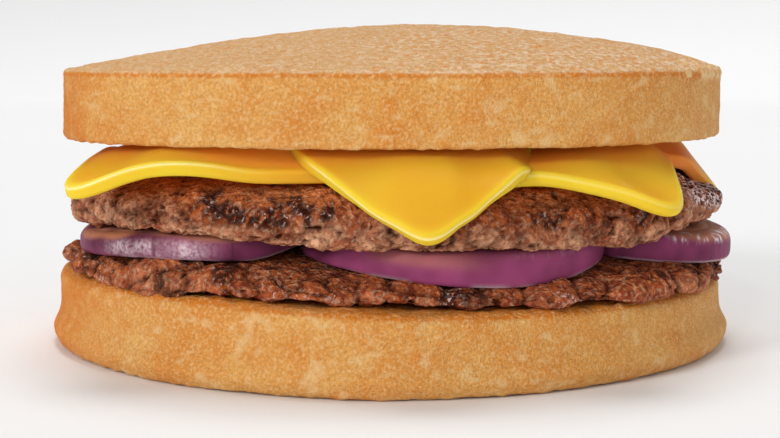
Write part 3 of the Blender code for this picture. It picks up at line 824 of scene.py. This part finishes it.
def onion_slice(name, light, glaze, browned, seed, material):
    """One slice of red onion: a disc with a blunt round rim, fine ribs down its skin, and rings on its
    faces 3.5 mm apart. `light` is how far its skin takes the lit colour over the shaded one, `glaze` how
    strong the pale painted sheen on its skin is, and `browned` how brown its upper face is."""
    middle_x, middle_y, own = ONIONS[name]
    turn = np.linspace(-math.pi / 2.0, math.pi / 2.0, ONION_RIM_STEPS)
    rim = np.column_stack((
        1.0 - ONION_EDGE * (1.0 - np.abs(np.cos(turn)) ** ONION_BLUNTNESS),
        np.sign(turn) * np.abs(np.sin(turn)) ** ONION_BLUNTNESS,
    ))
    profile = np.vstack(((0.0, -1.0), rim, (0.0, 1.0)))
    rows = spread(profile, own, ONION_HALF_THICKNESS, ONION_ROWS, 0.6, 0.3)
    radius, level, angle = spin(ONION_SEGMENTS, *rows)
    reach = onion_reach(name, angle) * radius
    x, y = middle_x + reach * np.cos(angle), middle_y + reach * np.sin(angle)
    under = lower_patty_top(x, y) + GAP
    over = ONION_TOP - (ONION_TOP_FALL - bell(x, y, *ONION_CREST)) * crown(x, y)
    past = past_the_lap(x, y)
    half_left = 0.5 * (over - under - ONION_LAP_GAP)
    if name == "onion_front_left":
        under = under + (over - under - half_left) * ease_in(past, *LEFT_TAPER)
    if name == "onion_front_centre":
        over = over - (over - under - half_left) * ease_in(-past, *CENTRE_TAPER)
    points = np.stack((x, y, under + (0.5 + 0.5 * level) * (over - under)), axis=-1)
    normal = outward(points)
    side = ease_in(radius, 0.90, 0.97)
    spoke = polar(20.0 * MM, angle, 0.3 * MM * level)
    rib = noise(spoke, RIB_WIDTH, seed)
    ring = np.abs(np.sin(math.pi * reach / RING_SPACING + 0.6 * noise(points, 9.0 * MM, seed + 1)))
    groove = (1.0 - side) * (1.0 - ease_in(ring, 0.0, 0.45)) * ease_in(radius, 0.1, 0.3)
    points = points + normal * (MM * (0.05 * side * rib - 0.22 * groove - 0.03))[..., None]
    top = ease_in(level, 0.35, 0.9) * ease_in(noise(points, 5.0 * MM, seed + 2) + 1.4 * level, 0.7, 1.5)
    # Painted highlight along the lower lip
    lip = hump(level, -0.82, 0.08) * side * ease_in(noise(points, 5.0 * MM, seed + 5), -0.4, 0.2)
    lip = lip * (1.0 - 0.6 * browned)
    line = hump(rib, 0.0, 0.04)
    # Painted sheen: pale reflections on the skin, broken by its darker ribs
    dried = noise(points, 5.0 * MM, seed + 3) + 0.5 * noise(points, 1.4 * MM, seed + 6)
    band = unit(0.85 + 0.6 * dried) * window(angle, *ONION_DRIED) * side
    band = band * hump(level, -0.05, 0.72, 4) * (1.0 - 0.85 * line)
    tone = light + 0.45 * noise(points, 8.0 * MM, seed + 4) + 0.2 * noise(points, 2.0 * MM, seed + 8)
    rough = 1.2 * MM * noise(points, 1.2 * MM, seed + 10)
    # Painted highlights on the torn fibres of the browned upper face
    fibre = ease_in(noise(spoke + points * 0.8 + rough[..., None], 0.9 * MM, seed + 7), 0.05, 0.3)
    fibre = fibre * browned * window(angle, *ONION_TORN)
    fibre = fibre * ease_in(noise(points, 1.6 * MM, seed + 9), -0.4, 0.1)
    fibre = unit(2.0 * fibre * hump(level, 0.85, 0.2) * ease_in(radius, 0.86, 0.94))
    glint = unit(fibre + 0.6 * lip)
    cooked = 0.45 * window(angle, *ONION_COOKED) * ease_in(level, -0.1, 0.6) * (1.0 - browned)
    add_piece(
        name + "_slice", points, material, name, "red_onion",
        # Painted highlight at the lower lips and painted sheen on the skin
        pale=unit(0.6 * lip + glaze * band),
        brown=np.maximum(browned * top, cooked) * (1.0 - 0.8 * fibre),
        # Painted shade and light of the skin, darker on the ribs under the painted sheen
        tone=unit(tone - 0.3 * glaze * line),
        glint=glint,
        wet=0.5 * glint,
    )


def square_reach(angle, middle, turn, half_side):
    """Distance from the origin, at each angle, to the outline of a turned square, roughly."""
    local = angle - turn
    shift = middle[0] * np.cos(angle) + middle[1] * np.sin(angle)
    return half_side / np.maximum(np.abs(np.cos(local)), np.abs(np.sin(local))) + shift


def drape(x, y, top, corners, under):
    """Lay the flat points (x, y) of a slice over what carries it and let what reaches past that hang.

    Up to its edge the slice follows the patty. Past it, it bends in an arc to the corner's slope and then
    goes on nearly straight. Between corners the values blend by a power of the cosine of the angle away.
    Where another slice lies `under` this one, it is held up to that slice's edge too.
    """
    angle = np.arctan2(y, x)
    weights = [
        np.maximum(np.cos(angle - math.radians(corner[0])), CORNER_BLEND_FLOOR) ** CORNER_BLEND
        for corner in corners
    ]
    held, kept_length, slope, bend, flare = (
        sum(weight * corner[item] for weight, corner in zip(weights, corners)) / sum(weights)
        for item in range(1, 6)
    )
    distance = np.maximum(np.hypot(x, y), MERGE_DISTANCE)
    oval = distance / np.sqrt(crown(x, y) + MERGE_DISTANCE**2)
    edge = held * oval
    if under:
        edge = np.maximum(edge, square_reach(angle, *under, CHEESE_HALF_SIDE) + CHEESE_GRIP)
    fall = CHEESE_FALL + bell(x, y, *LEFT_SAG)
    first = np.arctan(2.0 * fall * edge / oval**2)
    rate = np.maximum(np.radians(slope) - first, LEAST_BEND) / bend
    flare = np.maximum(np.radians(flare), LEAST_FLARE)
    past = np.maximum(distance - edge, 0.0) * kept_length
    bent = np.minimum(past, bend)
    last = first + rate * bent
    end = last - flare * (past - bent)
    run = (np.sin(last) - np.sin(first)) / rate + (np.sin(last) - np.sin(end)) / flare
    drop = (np.cos(first) - np.cos(last)) / rate + (np.cos(end) - np.cos(last)) / flare
    kept = np.minimum(distance, edge)
    buckle = BUCKLE_RISE * hump(x, BUCKLE_X, BUCKLE_WIDTH) * ease_in(-y, *BUCKLE_Y)
    height = top - fall * (kept / oval) ** 2 - drop + buckle
    return np.stack((x / distance * (kept + run), y / distance * (kept + run), height), axis=-1)


def cheese_rows(rounding_size):
    """Rows of a slice's profile with this rounding at its rim, as radius and level."""
    share = rounding_size / CHEESE_HALF_SIDE, 2.0 * rounding_size / CHEESE_THICKNESS
    profile = slab_profile(share, share)
    return spread(profile, CHEESE_HALF_SIDE, CHEESE_THICKNESS / 2.0, CHEESE_ROWS, 0.97, 0.12)


def bread_share(points):
    """Distance of each point from the z axis, as a share of the upper slice of bread's reach there."""
    x, y = points[..., 0], points[..., 1]
    return np.hypot(x, y) / top_slice_reach(np.arctan2(y, x))


def cheese_slice(name, node, middle, turn, top, corners, under, shrink, swell, melted, seed, material):
    """One square slice: the rounded square |x|^p + |y|^p = 1 spun out from its middle, drawn in where it
    shrank, draped, and given its thickness along the normals of the sheet, with its rims rounded, more so
    where it has `melted`."""
    along_side = np.sin(np.linspace(-math.pi / 2.0, math.pi / 2.0, CHEESE_SIDE_POINTS)[:-1])
    local = (np.arange(4)[:, None] * math.pi / 2.0 + np.arctan(along_side)).ravel()
    soft = window(local + turn, *melted)[:, None] if melted else np.zeros((local.size, 1))
    radius, level = (
        crisp * (1.0 - soft) + blunt * soft
        for crisp, blunt in zip(cheese_rows(CHEESE_ROUNDING), cheese_rows(CHEESE_MELTED_ROUNDING))
    )
    soft, local = (np.broadcast_to(values, radius.shape) for values in (soft, local[:, None]))

    def sheet(radius, local):
        squareness = CHEESE_SQUARENESS + (CHEESE_MELTED_SQUARENESS - CHEESE_SQUARENESS) * soft
        reach = radius * outline(local, CHEESE_HALF_SIDE, CHEESE_HALF_SIDE, squareness)
        for share, direction, width in shrink:
            reach = reach * (1.0 - share * window(local + turn, direction, width))
        x = middle[0] + reach * np.cos(local + turn)
        y = middle[1] + reach * np.sin(local + turn)
        flat = drape(x, y, top, corners, under)
        share = bread_share(flat)
        ridge = (1.0 - ease_in(share, 0.89, 1.06)) * (1.0 - ease_in(radius, 0.90, 0.99))
        for height, direction, width, begin, full, follow in swell:
            amount = ease_in(share, begin, full) * (follow + (1.0 - follow) * ridge)
            flat[..., 2] += height * amount * window(local + turn, direction, width)
        return flat

    across = sheet(radius + SLOPE_STEP, local) - sheet(radius - SLOPE_STEP, local)
    round_it = sheet(radius, local + SLOPE_STEP) - sheet(radius, local - SLOPE_STEP)
    normal = directions(np.cross(across, round_it))
    points = sheet(radius, local)
    sag = 0.12 * MM * noise(points, 7.0 * MM, seed) * ease_in(radius, 0.6, 1.0)
    thickness = CHEESE_THICKNESS + CHEESE_PUFF * ease_in(radius, 0.88, 0.98)
    points = points - normal * (0.5 * thickness * (1.0 - level) + 0.12 * MM - sag)[..., None]
    direction = local + turn
    share = bread_share(points)
    rim = ease_in(radius, 0.968, 0.988)
    # Painted shade under the bread, less of it on the cheese's own rim, and on the face of the right tip
    baked = (1.0 - ease_in(share, 0.92, 1.02)) * (1.0 - 0.7 * rim)
    baked = np.maximum(baked, 1.6 * window(direction, *TIP_BAKED) * (1.0 - ease_in(share, 0.98, 1.12)))
    # Painted glow on the rims outside the bread, half as much at the right tip
    thin = rim * ease_in(share, 0.92, 1.02) * (1.0 - 0.5 * window(direction, *TIP_THICK))
    # Painted highlight where the top of the rim turns down, left out where the rim melted round and at the
    # right tip, with painted streaks near the right corner
    bead = hump(level, 0.62, 0.15) * ease_in(radius, 0.975, 0.99) * ease_in(share, 0.94, 1.02)
    bead = bead * (1.0 - 0.75 * soft) * (1.0 - window(direction, *TIP_PLAIN))
    streak = noise(points * (0.35, 1.4, 1.6), 1.1 * MM, seed + 1) * window(direction, *STREAKED)
    strip = ease_in(radius, 0.925, 0.945) * (1.0 - ease_in(radius, 0.955, 0.975))
    bead = unit((bead + 0.7 * ease_in(streak, 0.2, 0.7) * strip) * (level > 0.0))
    add_piece(name, points, material, node, "cheese", baked=baked, thin=thin, bead=bead)


class BreadSettings(bpy.types.PropertyGroup):
    """Colours and grain of the bread."""

    pale: swatch("Pale toast", "Lightly toasted skin", "F6C070")
    brown: swatch("Brown toast", "Well toasted skin", "E68426")
    fleck: swatch("Flecks", "Fine dark flecks of the grain", "C67C2E")
    crumb: swatch("Crumb", "Cream patches where the crumb shows", "F8D59C")
    face: swatch("Top face", "Paler crust of the upper face", "E9BE88")
    flake: swatch("Flakes", "Pale flakes of the upper face", "F6DCC0")
    grain: FloatProperty(
        name="Grain", description="Width of the fine mottling", unit="LENGTH", default=0.42 * MM
    )


class BeefSettings(bpy.types.PropertyGroup):
    """Colours of the patties."""

    upper_dark: swatch("Upper dark", "Darker grains of the upper patty", "B86444")
    upper_pale: swatch("Upper pale", "Paler grains of the upper patty", "F8B88E")
    lower_dark: swatch("Lower dark", "Darker grains of the lower patty", "9C4226")
    lower_pale: swatch("Lower pale", "Paler grains of the lower patty", "E28C60")
    seared: swatch("Seared", "Orange-brown crust", "D4703A")
    browned: swatch("Browned", "Darker crust", "84361E")
    char: swatch("Char", "Burnt spots", "200A08")
    crumb: swatch("Crumb tips", "Pale tips of the grains", "F4CCA6")
    # Painted glints on the wet crust
    fat: swatch("Fat", "Tiny specks of fat on the crust", "FCE0DE")
    # Painted shade in the creases and pits
    crevice: swatch("Crevices", "Creases between grains", "42190C")
    # Painted light on the crust near the cheese
    glow: swatch("Bright crust", "Orange crust near the cheese", "FF9C58")


class CheeseSettings(bpy.types.PropertyGroup):
    """Colours of the cheese."""

    warm: swatch("Warm", "Deeper yellow", "E4A826")
    bright: swatch("Bright", "Brighter yellow", "EABC32")
    # Painted shade under the bread and on the right tip
    baked: swatch("Baked", "Orange where the bread's heat darkened it", "F68C3C")
    # Painted glow of light through the thin rims
    thin: swatch("Thin", "Lighter yellow at the hanging rims", "F4DC3C")
    # Painted highlight along the rims
    bead: swatch("Bead", "Pale oiled line along the rims", "FFF0B0")


class OnionSettings(bpy.types.PropertyGroup):
    """Colours of the onion."""

    plum: swatch("Plum", "Skin in the shade", "602842")
    magenta: swatch("Magenta", "Skin in the light", "A44C78")
    # Painted sheen on the skin and painted highlight at the lips
    lilac: swatch("Lilac", "Pale ribs and lips", "E8D4DA")
    browned: swatch("Browned", "Grilled cut face", "C48462")
    # Painted highlights on the fibres and lips
    glint: swatch("Glints", "Nearly white fibres and lips", "F0E4E8")


class StageSettings(bpy.types.PropertyGroup):
    """Floor and light."""

    floor: swatch("Floor", "Colour of the floor", "F6F6F6")
    floor_rim: swatch("Floor rim", "Colour of its raised rim", "DADADA")
    sky: FloatProperty(name="Sky", description="Strength of the light from all round", default=0.36, min=0.0)
    key: FloatProperty(name="Key", description="Share of light from the front left", default=0.36, min=0.0)
    fill: FloatProperty(name="Fill", description="Share of light from low in front", default=0.30, min=0.0)
    spots: FloatProperty(name="Spots", description="Share of light from small lamps", default=0.06, min=0.0)
    overhead: FloatProperty(name="Overhead", description="Share of light from above", default=0.44, min=0.0)


class MELT_OT_bread(bpy.types.Operator):
    """Make the two slices of toasted bread"""

    bl_idname = "melt.bread"
    bl_label = "Bread"

    def execute(self, context):
        material = toasted_bread()
        rows = bread_rows(BOTTOM_THICKNESS, BOTTOM_FOOT, BOTTOM_EDGE, BOTTOM_HALF_LENGTH, BOTTOM_ROWS)
        bread_slice("bottom_slice", "bread_bottom", bottom_slice_points, rows, 0.0, 100, material)
        wall = TOP_RIM_HEIGHT - TOP_UNDERSIDE + TOP_UNDERSIDE_FALL
        rows = bread_rows(wall, TOP_EDGE, TOP_CREST_EDGE, TOP_HALF_LENGTH, TOP_ROWS)
        bread_slice("top_slice", "bread_top", top_slice_points, rows, 1.0, 120, material)
        return {"FINISHED"}


class MELT_OT_patties(bpy.types.Operator):
    """Make the two beef patties"""

    bl_idname = "melt.patties"
    bl_label = "Patties"

    def execute(self, context):
        look = context.scene.melt_beef
        self.lower(grilled_beef("browned minced beef", look.lower_dark, look.lower_pale))
        self.upper(grilled_beef("seared minced beef", look.upper_dark, look.upper_pale))
        return {"FINISHED"}

    def form(self, sear_power, offset, half_length, half_depth, faces, seed):
        """Radius, level and points of a patty's smooth form."""
        profile = patty_profile(sear_power)
        rows = spread(profile, half_length, PATTY_HALF_THICKNESS, PATTY_ROWS, 0.8, 0.12)
        radius, level, angle = spin(FINE_SEGMENTS, *rows)
        size = offset, half_length, half_depth
        return radius, level, patty_points(radius, level, angle, size, faces, seed)

    def lower(self, material):
        radius, level, points = self.form(
            LOWER_SEAR_POWER, LOWER_OFFSET_X, LOWER_HALF_LENGTH, LOWER_HALF_DEPTH, lower_patty_faces, 21
        )
        x, y = points[..., 0], points[..., 1]
        patch = noise(points, 4.5 * MM, 205)
        sear = 0.9 * ease_in(level + 0.9 * patch, -0.5, 0.4)
        spots = noise(points, 3.6 * MM, 206) + 0.4 * patch + bell(x, y, *LOWER_CHARRED)
        char = 0.8 * ease_in(spots, 0.40, 0.7)
        wet = 0.2 * sear + 0.6 * ease_in(patch, 0.1, 0.6)
        hang = bell(x, y, *LOWER_HANG) * ease_in(radius, 0.93, 0.99) * ease_in(-level, -0.2, 0.5)
        lift = LOWER_LIFT * ease_in(radius, 0.8, 0.95) * ease_in(level, -0.6, 0.4)
        points = widen(points, HANG_WIDENS * hang)
        points[..., 2] += lift - HANG_DROP * hang
        mince(
            "lower_patty", "patty_lower", points, radius, 210, material, LOWER_LUMPS,
            sear, char, wet, 0.0,
        )

    def upper(self, material):
        radius, level, points = self.form(
            UPPER_SEAR_POWER, UPPER_OFFSET_X, UPPER_HALF_LENGTH, UPPER_HALF_DEPTH, upper_patty_faces, 31
        )
        x, y = points[..., 0], points[..., 1]
        patch = noise(points, 5.0 * MM, 305)
        crusted = bell(x, y, *UPPER_CRUSTED) - bell(x, y, *UPPER_BARE)
        sear = ease_in(level + 0.6 * patch + crusted, -0.35, 0.35)
        burnt = bell(x, y, *UPPER_BURNT_WALL) * (1.0 - ease_in(level, 0.3, 0.6)) + bells(x, y, UPPER_BURNT)
        bent = points + 1.2 * MM * swirl(points, 2.4 * MM, 320)
        spots = noise(bent, 1.8 * MM, 306) + 0.5 * patch + burnt
        char = 0.9 * ease_in(spots, 0.7, 1.0) * ease_in(level, -0.55, -0.1)
        char = unit(char + bell(x, y, *UPPER_CHARRED) * ease_in(level, -0.5, 0.1))
        # Wet: where the coat of grease lies and where glints are painted
        wet = 0.6 * ease_in(spots, 0.55, 0.9) * ease_in(level, -0.5, 0.0) + 0.1 * sear
        wet = unit(wet + bell(x, y, *UPPER_WET) * ease_in(level, -0.6, -0.1))
        # Painted light on the upper crust, left out at the right end
        glow = ease_in(level, 0.15, 0.60) * (1.0 - bell(x, y, *UPPER_DULL))
        wider = bell(x, y, *UPPER_RIGHT_END) * ease_in(level, -1.0, -0.5)
        wider = wider + bell(x, y, *UPPER_LEFT_END) * ease_in(level, -0.9, -0.2)
        lift = UPPER_LIFT + bells(x, y, UPPER_SHOULDERS)
        points = widen(points, wider * ease_in(radius, 0.90, 0.98))
        points[..., 2] += lift * ease_in(radius, 0.8, 0.92) * ease_in(level, -0.2, 0.5)
        mince(
            "upper_patty", "patty_upper", points, radius, 310, material, UPPER_LUMPS,
            sear, char, wet, glow,
        )


class MELT_OT_onions(bpy.types.Operator):
    """Make the slices of red onion"""

    bl_idname = "melt.onions"
    bl_label = "Onions"

    def execute(self, context):
        material = red_onion()
        for seed, name in enumerate(ONIONS, start=400):
            onion_slice(name, *ONION_LOOKS.get(name, PLAIN_ONION), 10 * seed, material)
        return {"FINISHED"}


class MELT_OT_cheese(bpy.types.Operator):
    """Make the two slices of melted cheese"""

    bl_idname = "melt.cheese"
    bl_label = "Cheese"

    def execute(self, context):
        material = melted_cheese()
        cheese_slice(
            "lower_cheese", "cheese_lower", *LOWER_CHEESE_PLACE, CHEESE_LOWER_TOP, LOWER_CHEESE_CORNERS,
            None, (), LOWER_SWELL, MELTED_RIM, 501, material,
        )
        cheese_slice(
            "upper_cheese", "cheese_upper", *UPPER_CHEESE_PLACE, CHEESE_UPPER_TOP, UPPER_CHEESE_CORNERS,
            LOWER_CHEESE_PLACE, UPPER_SHRINK, UPPER_SWELL, None, 502, material,
        )
        return {"FINISHED"}


class MELT_OT_stage(bpy.types.Operator):
    """Set the camera, the lights, the sky and the pale floor"""

    bl_idname = "melt.stage"
    bl_label = "Stage"

    def execute(self, context):
        look = context.scene.melt_stage
        scene = context.scene
        scene.view_settings.view_transform = "Standard"
        camera = bpy.data.objects.new("camera", bpy.data.cameras.new("camera"))
        scene.collection.objects.link(camera)
        camera.location = CAMERA_PLACE
        camera.rotation_euler = (math.radians(90.0 - CAMERA_PITCH), 0.0, 0.0)
        camera.data.sensor_width = SENSOR_WIDTH
        camera.data.lens = FOCAL_PIXELS * SENSOR_WIDTH / PHOTO_WIDTH
        camera.data.clip_start = 0.01
        camera.data.clip_end = 20.0
        scene.camera = camera
        self.sweep(look)
        self.light(scene, "key", -46.0, 24.0, 16.0, look.key)
        self.light(scene, "fill", 0.0, 8.0, 24.0, look.fill)
        self.light(scene, "overhead", 180.0, 76.0, 30.0, look.overhead)
        self.light(scene, "spot left", -24.0, 40.0, 4.0, look.spots)
        self.light(scene, "spot right", 22.0, 26.0, 4.0, 0.5 * look.spots)
        world = bpy.data.worlds.new("sky")
        world.use_nodes = True
        background = world.node_tree.nodes["Background"]
        background.inputs["Color"].default_value = (1.0, 1.0, 1.0, 1.0)
        background.inputs["Strength"].default_value = look.sky
        world.cycles_visibility.glossy = False
        scene.world = world
        return {"FINISHED"}

    def sweep(self, look):
        """A round floor that is flat for 1.4 m and then curves up in a quarter of a circle of 0.35 m."""
        turn = np.linspace(0.0, math.pi / 2.0, FLOOR_STEPS)
        reach = np.concatenate(((0.05, 0.7), FLOOR_FLAT + FLOOR_CURVE * np.sin(turn)))
        height = np.concatenate(((0.0, 0.0), FLOOR_CURVE * (1.0 - np.cos(turn)))) - 0.05 * MM
        reach, height, angle = spin(FLOOR_SEGMENTS, reach, height)
        number = np.arange(reach.size).reshape(reach.shape)
        beside = np.roll(number, -1, axis=0)
        quads = np.stack((number[:, :-1], number[:, 1:], beside[:, 1:], beside[:, :-1]), axis=-1)
        faces = quads.reshape(-1, 4).tolist() + [number[:, 0].tolist()]
        mesh = bpy.data.meshes.new("floor")
        mesh.from_pydata(polar(reach, angle, height).reshape(-1, 3).tolist(), [], faces)
        mesh.shade_smooth()
        rim = ease_in(reach, 1.2, 1.8).ravel()
        mesh.attributes.new("rim", "FLOAT", "POINT").data.foreach_set("value", rim)
        values = {"Roughness": 0.8, "Specular IOR Level": 0.1}
        material, tree, inputs = start_material("matt white card", values)
        tree.links.new(coat(tree, look.floor, look.floor_rim, field="rim"), inputs["Base Color"])
        mesh.materials.append(material)
        floor = bpy.data.objects.new("floor", mesh)
        bpy.context.scene.collection.objects.link(floor)

    def light(self, scene, name, side, elevation, width, share):
        """A distant softbox: degrees to the right of the camera, above the floor and across."""
        lamp = bpy.data.objects.new(name, bpy.data.lights.new(name, "SUN"))
        lamp.data.angle = math.radians(width)
        lamp.data.energy = math.pi * share
        lamp.rotation_euler = (math.radians(90.0 - elevation), 0.0, math.radians(side))
        scene.collection.objects.link(lamp)


class MELT_PT_panel(bpy.types.Panel):
    """Lists the sandwich's pieces"""

    bl_idname = "MELT_PT_panel"
    bl_label = "Sourdough melt"
    bl_space_type = "VIEW_3D"
    bl_region_type = "UI"
    bl_category = "Melt"

    def draw(self, context):
        for operator, settings in STEPS:
            self.layout.operator(operator)
            group = getattr(context.scene, settings)
            for name in group.bl_rna.properties.keys():
                if name not in {"rna_type", "name"}:
                    self.layout.prop(group, name)


SETTINGS = {
    "melt_bread": BreadSettings,
    "melt_beef": BeefSettings,
    "melt_cheese": CheeseSettings,
    "melt_onion": OnionSettings,
    "melt_stage": StageSettings,
}
STEPS = (
    ("melt.bread", "melt_bread"),
    ("melt.patties", "melt_beef"),
    ("melt.onions", "melt_onion"),
    ("melt.cheese", "melt_cheese"),
    ("melt.stage", "melt_stage"),
)
CLASSES = (
    *SETTINGS.values(),
    MELT_OT_bread, MELT_OT_patties, MELT_OT_onions, MELT_OT_cheese, MELT_OT_stage, MELT_PT_panel,
)


def register():
    for kind in CLASSES:
        bpy.utils.register_class(kind)
    for name, group in SETTINGS.items():
        setattr(bpy.types.Scene, name, PointerProperty(type=group))


def unregister():
    for name in SETTINGS:
        delattr(bpy.types.Scene, name)
    for kind in reversed(CLASSES):
        bpy.utils.unregister_class(kind)


def main():
    register()
    bpy.ops.melt.stage()
    bpy.ops.melt.bread()
    bpy.ops.melt.patties()
    bpy.ops.melt.onions()
    bpy.ops.melt.cheese()


if __name__ == "__main__":
    main()
